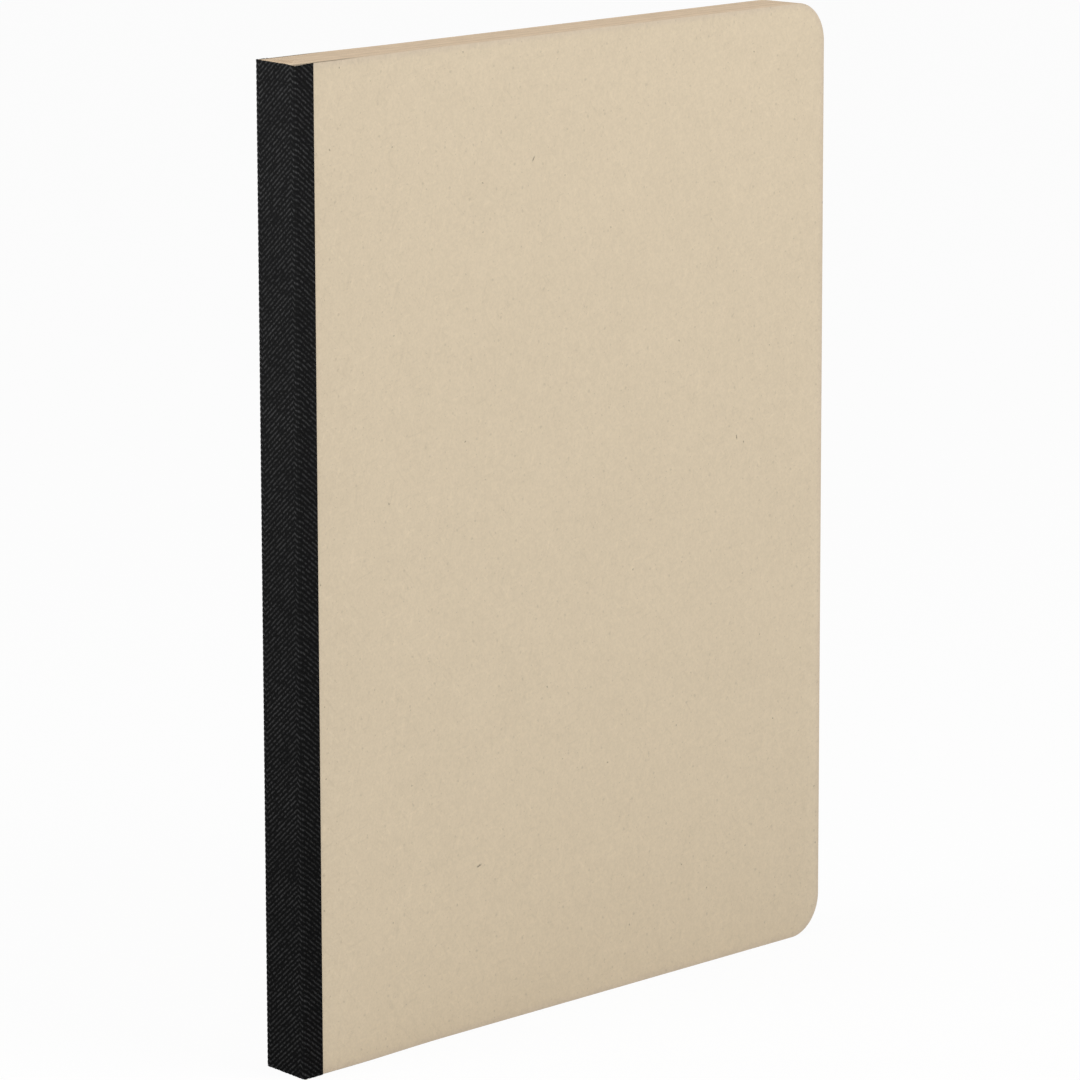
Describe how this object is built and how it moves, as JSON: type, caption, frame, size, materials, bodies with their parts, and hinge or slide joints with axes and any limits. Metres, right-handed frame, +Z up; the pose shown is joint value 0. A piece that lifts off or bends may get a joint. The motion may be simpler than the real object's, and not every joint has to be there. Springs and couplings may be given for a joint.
{
  "type": "composition notebook",
  "caption": "Sewn notebook standing on its bottom edge: page block, two card covers that swing open, and a woven cloth tape round the spine.",
  "frame": {"origin": "middle of the bottom edge that the book stands on", "axes": "+Z up along the spine, +X from the spine to the fore-edge, -Y out of the front cover"},
  "size_m": [0.192, 0.0158, 0.2476],
  "materials": {
    "paper": "uncoated, trimmed edges",
    "card": "uncoated, finely flecked",
    "cloth": "herringbone twill",
    "thread": "twisted cotton"
  },
  "bodies": {
    "book": {"page_block": "paper", "sewing_thread": "thread", "spine_tape": "cloth"},
    "front_board": {"front_cover": "card"},
    "back_board": {"back_cover": "card"}
  },
  "joints": [
    {"name": "front_cover_hinge", "type": "hinge", "parent": "book", "child": "front_board", "pos_m": [-0.09601, -0.00792, 0.12], "axis": [0, 0, -1], "range_deg": [0, 180], "deforming": ["spine_tape"]},
    {"name": "back_cover_hinge", "type": "hinge", "parent": "book", "child": "back_board", "pos_m": [-0.09381, 0.00792, 0.12], "axis": [0, 0, 1], "range_deg": [0, 180], "deforming": ["spine_tape"]}
  ]
}
